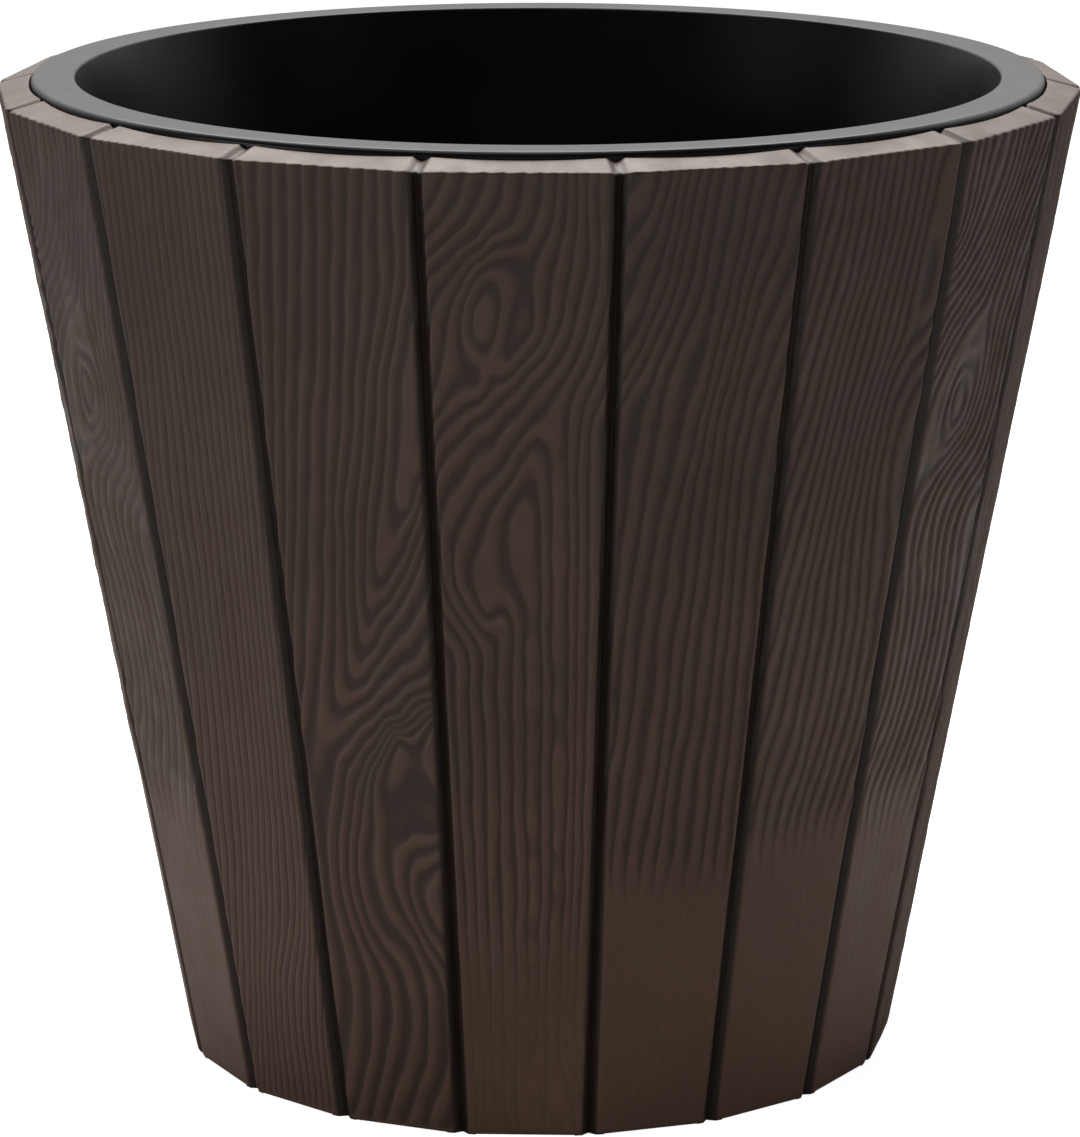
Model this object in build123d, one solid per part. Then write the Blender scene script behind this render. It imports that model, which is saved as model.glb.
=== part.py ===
from build123d import *

import math
import os

# Round floor planter in wood-effect plastic. Two mouldings make it: an outer cover pot shaped like a ring of
# upright planks with V-joints between them, and a plain black liner pot that hangs in it by its flange.
# Millimetres, +Z up. The origin is the centre of the base, on the floor. One plank faces -Y.

# Cover pot: the ring of planks
PLANK_COUNT = 18
RIM_CORNER_RADIUS = 200.0       # axis to the corner of two plank faces, at the rim's outer edge
BASE_CORNER_RADIUS = 134.0      # the same corner at the floor
PLANK_HEIGHT = 362.4            # floor to the rim's outer edge
COVER_WALL = 2.8                # thickness of the moulded wall
RIM_WIDTH = 9.8                 # the rim's sloping top, from the middle of a plank face inwards
RIM_SLOPE = 15.0                # degrees that the rim's top falls towards the outside
RIM_EDGE_RADIUS = 1.0           # rounding of the rim's outer edge
FOOT_CHAMFER = 1.0              # bevel on the planks' bottom edges

# V-joints between planks
JOINT_WIDTH = 6.2               # across the mouth of the V on the plank faces
JOINT_DEPTH = 3.4               # from the corner of the faces to the tip of the V
NOTCH_WIDTH = 6.8               # the V where it crosses the rim's top
NOTCH_DEPTH = 1.9
JOINT_SKIN = 2.2                # plastic left behind the tip
JOINT_TIP_LAND = 3.0            # width of the ridge behind the tip

# Rim channel of the cover pot: lip, ledge and gussets
LINER_GAP = 0.8                 # radial gap between the liner's skirt and the lip
LIP_WALL = 2.4
LEDGE_WALL = 2.8
LEDGE_REACH = 5.0               # how far the ledge stands inwards of the lip's bore
GUSSET_WALL = 2.0
FUSE_ROOT = 1.0                 # how far an inner feature runs into the wall that carries it

# Floor of the cover pot
COVER_FLOOR_LIFT = 9.0          # underside of the floor above the ground
COVER_FLOOR_WALL = 2.8
RIB_CLEARANCE = 2.5             # ground to the bottom of the ribs
RIB_WALL = 2.0
HUB_RADIUS = 20.0
RING_RIB_RADIUS = 74.0

# Liner pot
LINER_FLANGE_WIDTH = 16.0
LINER_PROUD = 2.7               # flange top above the inner edge of the rim
LINER_SKIRT_HEIGHT = 12.2
LINER_WALL = 2.0
LINER_EDGE_BEVEL = 1.0          # on the flange's outer edge
LINER_MOUTH_BEVEL = 0.6
LINER_FLOOR_WALL = 2.6
LINER_HEEL_BEVEL = 9.0          # bevel between the liner's wall and its floor
RESERVOIR_DEPTH = 20.0          # space for drained water between the cover pot's floor and the liner's
LINER_GUSSET_COUNT = 18
KICK_UP_RADIUS = 52.0           # raised middle of the liner's floor
KICK_UP_HEIGHT = 7.0
KICK_UP_SLOPE_RUN = 9.0
DRAIN_COUNT = 8
DRAIN_RADIUS = 5.0

# Worked out from the sizes above
PLANK_ANGLE = 360.0 / PLANK_COUNT
HALF_ANGLE = math.radians(PLANK_ANGLE / 2)
RIM_FACE = RIM_CORNER_RADIUS * math.cos(HALF_ANGLE)      # axis to the middle of a plank face, at the rim
BASE_FACE = BASE_CORNER_RADIUS * math.cos(HALF_ANGLE)    # the same at the floor
FACE_FLARE = (RIM_FACE - BASE_FACE) / PLANK_HEIGHT       # outward run of a plank face per mm of height
CORNER_FLARE = (RIM_CORNER_RADIUS - BASE_CORNER_RADIUS) / PLANK_HEIGHT
WALL_RUN = COVER_WALL * math.hypot(1, FACE_FLARE)        # the wall measured along the horizontal
RIM_RISE = math.tan(math.radians(RIM_SLOPE))             # height gained per mm towards the axis
JOINT_RIM_RISE = RIM_RISE * math.cos(HALF_ANGLE)         # the same along a joint
BORE_RADIUS = RIM_FACE - RIM_WIDTH
RIM_INNER_Z = PLANK_HEIGHT + RIM_WIDTH * RIM_RISE
LINER_FLANGE_RADIUS = BORE_RADIUS - LINER_GAP
LINER_MOUTH_RADIUS = LINER_FLANGE_RADIUS - LINER_FLANGE_WIDTH
LINER_TOP = RIM_INNER_Z + LINER_PROUD
LINER_FLOOR_LIFT = COVER_FLOOR_LIFT + COVER_FLOOR_WALL + RESERVOIR_DEPTH
LEDGE_TOP = LINER_TOP - LINER_SKIRT_HEIGHT
LEDGE_BOTTOM = LEDGE_TOP - LEDGE_WALL
LEDGE_RADIUS = BORE_RADIUS - LEDGE_REACH


def face_at(z):
    """Axis to the middle of a plank's outer face at height z."""
    return BASE_FACE + FACE_FLARE * z


def corner_at(z):
    """Axis to the corner of two plank faces at height z."""
    return BASE_CORNER_RADIUS + CORNER_FLARE * z


def joint_rim_at(radius):
    """Height of the rim's top along the line where the tops of two planks meet."""
    return PLANK_HEIGHT + (RIM_CORNER_RADIUS - radius) * JOINT_RIM_RISE


def upright(azimuth):
    """A vertical plane through the axis: its x runs outwards at this azimuth and its y runs up."""
    a = math.radians(azimuth)
    return Plane(origin=(0, 0, 0), x_dir=(math.cos(a), math.sin(a), 0), z_dir=(math.sin(a), -math.cos(a), 0))


def plate(points, azimuth, width):
    """A flat-sided piece: an outline in the upright plane at the azimuth, thickened evenly to both sides."""
    outline = make_face(Polyline(*points, close=True))
    return extrude(upright(azimuth) * outline, amount=width / 2, both=True)


def turned(points):
    """A ring turned from an outline of radius and height."""
    outline = make_face(Polyline(*points, close=True))
    return revolve(upright(0) * outline, Axis.Z)


def around(piece, count):
    """The piece and its copies, spread evenly round the axis."""
    return [Rot(0, 0, i * 360.0 / count) * piece for i in range(count)]


def corner_near(outline, point):
    """The outline's corner nearest to this point."""
    x, y = point
    return outline.vertices().sort_by(lambda v: (v.X - x) ** 2 + (v.Y - y) ** 2)[0]


def plank():
    """One plank with its share of the rim, cut to its sector. It is centred on +X."""
    inner_top = PLANK_HEIGHT - COVER_WALL
    land = LEDGE_RADIUS
    land_top = PLANK_HEIGHT + (RIM_FACE - land) * RIM_RISE
    profile = make_face(Polyline(
        (BASE_FACE - FOOT_CHAMFER, 0),
        (face_at(FOOT_CHAMFER), FOOT_CHAMFER),
        (RIM_FACE, PLANK_HEIGHT),
        (land, land_top),
        (land, land_top - COVER_WALL),
        (face_at(inner_top) - WALL_RUN, inner_top),
        (BASE_FACE - WALL_RUN, 0),
        close=True,
    ))
    profile = fillet(corner_near(profile, (RIM_FACE, PLANK_HEIGHT)), RIM_EDGE_RADIUS)
    body = extrude(upright(0) * profile, amount=RIM_CORNER_RADIUS, both=True)
    reach = 2 * RIM_CORNER_RADIUS
    half_reach = reach * math.tan(HALF_ANGLE)
    sector = make_face(Polyline((0, 0), (reach, -half_reach), (reach, half_reach), close=True))
    return body & extrude(sector, amount=2 * PLANK_HEIGHT)


def vee(depth, half_width, sink, overrun):
    """Outline of a V-groove below y = 0: its tip at the depth, its half width reached at the sink."""
    spread = half_width / (depth - sink)
    top = spread * (depth + overrun)
    return make_face(Polyline((0, -depth), (top, overrun), (-top, overrun), close=True))


def vee_backing(depth, half_width):
    """Outline of the ridge that keeps the wall thick behind a V-groove of this depth and half width."""
    tip = JOINT_TIP_LAND / 2
    root = half_width + JOINT_SKIN
    top = -FUSE_ROOT
    return make_face(Polyline(
        (-tip, -depth - JOINT_SKIN),
        (tip, -depth - JOINT_SKIN),
        (root, top),
        (-root, top),
        close=True,
    ))


def along_corner(outline, start, end):
    """The outline swept up a corner of two faces, centred on +X. Its y points outwards from the corner."""
    run = Vector(CORNER_FLARE, 0, 1)
    frame = Plane(origin=(corner_at(start), 0, start), x_dir=(0, -1, 0), z_dir=run)
    return extrude(frame * outline, amount=(end - start) * run.length)


def across_rim(outline, start, end):
    """The outline swept inwards over the rim. Its y points up and 0 is the rim's top. Centred on +X."""
    run = Vector(-1, 0, JOINT_RIM_RISE)
    frame = Plane(origin=(start, 0, joint_rim_at(start)), x_dir=(0, -1, 0), z_dir=run)
    return extrude(frame * outline, amount=(start - end) * run.length)


def joint_ridge():
    """The inner ridge behind a joint, on the wall and under the rim, and the gusset to the lip."""
    top = PLANK_HEIGHT - COVER_WALL / 2
    overrun = 2 * JOINT_DEPTH
    wall_ridge = along_corner(vee_backing(JOINT_DEPTH, JOINT_WIDTH / 2), -overrun, top)
    ground = Box(
        3 * RIM_CORNER_RADIUS, RIM_CORNER_RADIUS, 2 * overrun, align=(Align.CENTER, Align.CENTER, Align.MAX)
    )
    wall_ridge = wall_ridge - ground
    lip_middle = BORE_RADIUS + LIP_WALL / 2
    wall_middle = corner_at(top) - JOINT_DEPTH - FUSE_ROOT
    rim_ridge = across_rim(vee_backing(NOTCH_DEPTH, NOTCH_WIDTH / 2), wall_middle, lip_middle)
    gusset_sink = NOTCH_DEPTH + FUSE_ROOT
    gusset = plate(
        [
            (lip_middle, LEDGE_BOTTOM),
            (corner_at(LEDGE_BOTTOM) - JOINT_DEPTH - FUSE_ROOT, LEDGE_BOTTOM),
            (wall_middle, joint_rim_at(wall_middle) - gusset_sink),
            (lip_middle, joint_rim_at(lip_middle) - gusset_sink),
        ],
        0,
        GUSSET_WALL,
    )
    return wall_ridge.fuse(rim_ridge, gusset)


def joint_cutter():
    """The V between two planks: down the faces, and over the rim as a shallower notch. Centred on +X."""
    overrun = 2 * JOINT_DEPTH
    half_joint = JOINT_WIDTH / 2
    sink = half_joint * math.tan(HALF_ANGLE)
    down_faces = along_corner(vee(JOINT_DEPTH, half_joint, sink, overrun), -overrun, PLANK_HEIGHT + overrun)
    notch = vee(NOTCH_DEPTH, NOTCH_WIDTH / 2, 0, overrun)
    over_rim = across_rim(notch, RIM_CORNER_RADIUS + overrun, LEDGE_RADIUS)
    return down_faces.fuse(over_rim)


def lip_and_ledge():
    """The turned-down lip inside the rim and the ledge that carries the liner, as one ring."""
    outside = BORE_RADIUS + LIP_WALL
    lip_top = RIM_INNER_Z - COVER_WALL + FUSE_ROOT
    return turned([
        (LEDGE_RADIUS, LEDGE_BOTTOM),
        (outside, LEDGE_BOTTOM),
        (outside, lip_top - LIP_WALL * RIM_RISE),
        (BORE_RADIUS, lip_top),
        (BORE_RADIUS, LEDGE_TOP),
        (LEDGE_RADIUS, LEDGE_TOP),
    ])


def cover_floor():
    """The closed floor and the ribs under it: a hub, a ring, and radial ribs to every second plank."""
    wall_inside = face_at(COVER_FLOOR_LIFT) - WALL_RUN
    floor_face = wall_inside + FUSE_ROOT
    corner = Vector(floor_face / math.cos(HALF_ANGLE), 0, 0)
    corners = [corner.rotate(Axis.Z, i * PLANK_ANGLE) for i in range(PLANK_COUNT)]
    outline = make_face(Polyline(*corners, close=True))
    pieces = [Pos(0, 0, COVER_FLOOR_LIFT) * extrude(outline, amount=COVER_FLOOR_WALL)]
    rib_root = COVER_FLOOR_LIFT + FUSE_ROOT
    half_rib = RIB_WALL / 2
    for radius in (HUB_RADIUS, RING_RIB_RADIUS):
        pieces.append(turned([
            (radius - half_rib, RIB_CLEARANCE),
            (radius + half_rib, RIB_CLEARANCE),
            (radius + half_rib, rib_root),
            (radius - half_rib, rib_root),
        ]))
    rib = plate(
        [
            (HUB_RADIUS, RIB_CLEARANCE),
            (face_at(RIB_CLEARANCE) - WALL_RUN + FUSE_ROOT, RIB_CLEARANCE),
            (floor_face, rib_root),
            (HUB_RADIUS, rib_root),
        ],
        PLANK_ANGLE / 2,
        RIB_WALL,
    )
    pieces += around(rib, PLANK_COUNT // 2)
    return pieces


def cover_pot():
    """The outer moulding. Joints lie at 0, 20, 40 degrees and so on, which puts a plank's middle on -Y."""
    planks = around(Rot(0, 0, PLANK_ANGLE / 2) * plank(), PLANK_COUNT)
    shell = planks[0].fuse(*planks[1:], *around(joint_ridge(), PLANK_COUNT))
    bore = Pos(0, 0, LEDGE_TOP) * Cylinder(
        BORE_RADIUS, PLANK_HEIGHT, align=(Align.CENTER, Align.CENTER, Align.MIN)
    )
    shell = shell - bore
    shell = shell.fuse(lip_and_ledge(), *cover_floor())
    return shell.cut(*around(joint_cutter(), PLANK_COUNT))


def liner_pot():
    """The inner moulding: flange with turned-down skirt, body with the planks' taper, drained floor."""
    under_flange = LINER_TOP - LINER_WALL
    body_radius = LINER_MOUTH_RADIUS + LINER_WALL
    floor_radius = body_radius - (under_flange - LINER_FLOOR_LIFT) * FACE_FLARE
    floor_top = LINER_FLOOR_LIFT + LINER_FLOOR_WALL
    inner_floor_radius = LINER_MOUTH_RADIUS - (LINER_TOP - floor_top) * FACE_FLARE
    skirt_inside = LINER_FLANGE_RADIUS - LINER_WALL
    kick_up_foot = KICK_UP_RADIUS + KICK_UP_SLOPE_RUN
    heel = (floor_radius, LINER_FLOOR_LIFT)
    inner_heel = (inner_floor_radius, floor_top)
    flange_edge = (LINER_FLANGE_RADIUS, LINER_TOP)
    mouth_edge = (LINER_MOUTH_RADIUS, LINER_TOP)
    section = make_face(Polyline(
        (0, LINER_FLOOR_LIFT + KICK_UP_HEIGHT),
        (KICK_UP_RADIUS, LINER_FLOOR_LIFT + KICK_UP_HEIGHT),
        (kick_up_foot, LINER_FLOOR_LIFT),
        heel,
        (body_radius, under_flange),
        (skirt_inside, under_flange),
        (skirt_inside, LEDGE_TOP),
        (LINER_FLANGE_RADIUS, LEDGE_TOP),
        flange_edge,
        mouth_edge,
        inner_heel,
        (kick_up_foot, floor_top),
        (KICK_UP_RADIUS, floor_top + KICK_UP_HEIGHT),
        (0, floor_top + KICK_UP_HEIGHT),
        close=True,
    ))
    section = chamfer(corner_near(section, inner_heel), LINER_HEEL_BEVEL - (2 - math.sqrt(2)) * LINER_WALL)
    section = chamfer(corner_near(section, heel), LINER_HEEL_BEVEL)
    section = chamfer(corner_near(section, mouth_edge), LINER_MOUTH_BEVEL)
    section = chamfer(corner_near(section, flange_edge), LINER_EDGE_BEVEL)
    body = revolve(upright(0) * section, Axis.Z)

    half_wall = LINER_WALL / 2
    gusset_bottom = LEDGE_TOP + LINER_WALL
    gusset = plate(
        [
            (body_radius - (under_flange - gusset_bottom) * FACE_FLARE - half_wall, gusset_bottom),
            (skirt_inside + half_wall, gusset_bottom),
            (skirt_inside + half_wall, under_flange + half_wall),
            (body_radius - half_wall, under_flange + half_wall),
        ],
        PLANK_ANGLE / 2,
        GUSSET_WALL,
    )
    body = body.fuse(*around(gusset, LINER_GUSSET_COUNT))
    drain_circle = (kick_up_foot + floor_radius - LINER_HEEL_BEVEL) / 2
    drain = Pos(drain_circle, 0, LINER_FLOOR_LIFT + LINER_FLOOR_WALL / 2) * Cylinder(
        DRAIN_RADIUS, 2 * LINER_FLOOR_WALL
    )
    return body.cut(*around(drain, DRAIN_COUNT))


def main():
    os.makedirs("parts", exist_ok=True)
    for name, make in (("cover_pot", cover_pot), ("liner_pot", liner_pot)):
        export_step(make(), os.path.join("parts", name + ".step"))


main()
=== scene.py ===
import math

import bpy
import numpy as np
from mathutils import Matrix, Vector


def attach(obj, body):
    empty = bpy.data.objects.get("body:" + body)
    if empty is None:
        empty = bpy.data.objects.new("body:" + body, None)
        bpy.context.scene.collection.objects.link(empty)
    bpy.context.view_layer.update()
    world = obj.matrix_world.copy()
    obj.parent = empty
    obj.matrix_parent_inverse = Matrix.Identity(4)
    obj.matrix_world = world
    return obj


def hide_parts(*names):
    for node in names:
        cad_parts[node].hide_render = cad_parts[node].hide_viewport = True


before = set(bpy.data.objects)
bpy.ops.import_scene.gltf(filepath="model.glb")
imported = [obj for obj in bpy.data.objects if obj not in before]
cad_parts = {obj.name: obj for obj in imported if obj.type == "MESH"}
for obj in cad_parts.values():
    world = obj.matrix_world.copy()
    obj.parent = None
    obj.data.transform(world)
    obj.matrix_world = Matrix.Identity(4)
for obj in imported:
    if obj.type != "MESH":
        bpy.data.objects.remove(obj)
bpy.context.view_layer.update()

# Looks of the wood-effect planter. Lengths are millimetres up to the point where a mesh is made.
MM = 0.001

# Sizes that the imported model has
PLANK_COUNT = 18
RIM_CORNER_RADIUS = 200.0
BASE_CORNER_RADIUS = 134.0
PLANK_HEIGHT = 362.4
RIM_WIDTH = 9.8
RIM_RISE = math.tan(math.radians(15.0))
JOINT_WIDTH = 6.2
JOINT_DEPTH = 3.4
LINER_GAP = 0.8
FLANGE_WIDTH = 16.0
LINER_PROUD = 2.7
SKIRT_HEIGHT = 12.2
LINER_WALL = 2.0
LINER_FLOOR_WALL = 2.6
LINER_FLOOR_LIFT = 31.8
KICK_UP_RADIUS = 52.0
KICK_UP_HEIGHT = 7.0
KICK_UP_SLOPE_RUN = 9.0
HEEL = 9.0
DRAIN_COUNT = 8
DRAIN_RADIUS = 5.0

HALF_ANGLE = math.pi / PLANK_COUNT
SIN_HALF = math.sin(HALF_ANGLE)
COS_HALF = math.cos(HALF_ANGLE)
RIM_FACE = RIM_CORNER_RADIUS * COS_HALF
BASE_FACE = BASE_CORNER_RADIUS * COS_HALF
FLARE = (RIM_FACE - BASE_FACE) / PLANK_HEIGHT
CORNER_FLARE = (RIM_CORNER_RADIUS - BASE_CORNER_RADIUS) / PLANK_HEIGHT
BORE = RIM_FACE - RIM_WIDTH
RIM_INNER_Z = PLANK_HEIGHT + RIM_WIDTH * RIM_RISE
FLANGE_RADIUS = BORE - LINER_GAP
MOUTH_RADIUS = FLANGE_RADIUS - FLANGE_WIDTH
LINER_TOP = RIM_INNER_Z + LINER_PROUD
LEDGE_TOP = LINER_TOP - SKIRT_HEIGHT

# The moulded face that lies over each plank
SKIN_LIFT = 0.22          # smooth parts of the face over the CAD surface
SKIN_DEPTH = 1.9          # how far its back lies inside the plank
EDGE_MARGIN = 4.5         # width of the rounded strip beside a joint
JOINT_ROUND_IN = 0.75     # rounding of a joint's edge, its reach into the joint
JOINT_ROUND_OUT = 0.95    # the same along the face
TIP_DIVE = 0.15           # how far the face dips under the CAD surface at a joint's bottom
# Painted shade: from here towards each joint's middle the colour darkens, standing in for the shade in the
# V-joints
PAINTED_SHADE_START = 2.0          # distance from a joint's middle at which its shade starts to fade
PAINTED_SHADE_END = 3.3
NOTCH_DEPTH = 1.6
NOTCH_REACH = 3.9
BORE_LIFT = 0.15
FOOT_ROUND = 0.9          # rounding of a plank's lower end, inwards
FOOT_RISE = 1.5           # the same upwards
PATTERN_COUNT = 6         # the mould repeats its planks after this many
MIDDLE_COLUMNS = 100      # mesh columns between the rounded strips
FOOT_HEIGHTS = (0.03, 0.35, 0.8, 1.3)   # heights of the rows on the rounded lower end
FACE_START = 2.0          # height at which the even rows begin
FACE_ROWS = 300
RIM_BEND = 0.92           # reach of the rounding between face and rim, to either side
BORE_ROLL = 0.9           # the same between the rim and the bore
SOFT_ROWS = 12            # last rows, over the rim, where the joint's shade is halved
LINER_SEGMENTS = 240
NOISE_GRID = 64           # swells after which the noise repeats

# Light, in strengths and watts
WORLD_FILL = 0.18
WORLD_BACK = 0.85
WORLD_GLOW = 1.3          # extra brightness higher up behind the pot
WORLD_FRONT = 0.03
BACK_POWER = 29.0
TOP_POWER = 8.0
LEFT_POWER = 3.6
RIGHT_POWER = 1.2
FRONT_POWER = 1.2
WHITE = (1, 1, 1)
WARM = (1.0, 0.93, 0.87)
FLOOR_HALF = 30.0         # metres
FLOOR_SHADE = 0.65
FLOOR_GLOW = 0.92

# Colours from 0 to 255, and shades that they are multiplied by
WOOD_DARK = (100, 74, 58)
WOOD_LIGHT = (114, 85, 68)
LINER_DARK = (10, 10, 11)
LINER_LIGHT = (16, 15, 16)
# Grain valleys and pits: partly their own darker tone, partly painted shade in the hollows
VALLEY_TONE_AND_SHADE = (0.4, 0.38, 0.36)
# Painted shade in the joints
PAINTED_JOINT_SHADE = (0.2, 0.19, 0.18)
# Painted shade: the planks darken towards their top, standing in for how the light falls
PAINTED_TOP_SHADE = (0.62, 0.61, 0.6)
LINER_SHINE = 0.27

# Camera, in metres and degrees
CAMERA_TURN = 2.01
CAMERA_BACK = 2.0034
CAMERA_UP = 0.6651
CAMERA_AIM = (0, 0, 0.17868)
CAMERA_LENS = 173.14      # millimetres, like the sensor
CAMERA_SENSOR = 36.0
CAMERA_SHIFT = 0.0018


def table(seed):
    return np.random.default_rng(seed).uniform(-1, 1, (NOISE_GRID, NOISE_GRID))


def noise(x, y, seed):
    """Smooth noise from -1 to 1, one swell per unit of x and y."""
    grid = table(seed)
    xi, yi = np.floor(x).astype(int), np.floor(y).astype(int)
    fx, fy = x - xi, y - yi
    fx, fy = fx * fx * (3 - 2 * fx), fy * fy * (3 - 2 * fy)
    x0, x1 = xi % NOISE_GRID, (xi + 1) % NOISE_GRID
    y0, y1 = yi % NOISE_GRID, (yi + 1) % NOISE_GRID
    low = grid[x0, y0] * (1 - fx) + grid[x1, y0] * fx
    high = grid[x0, y1] * (1 - fx) + grid[x1, y1] * fx
    return low * (1 - fy) + high * fy


def smooth(low, high, x):
    t = np.clip((x - low) / (high - low), 0, 1)
    return t * t * (3 - 2 * t)
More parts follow.
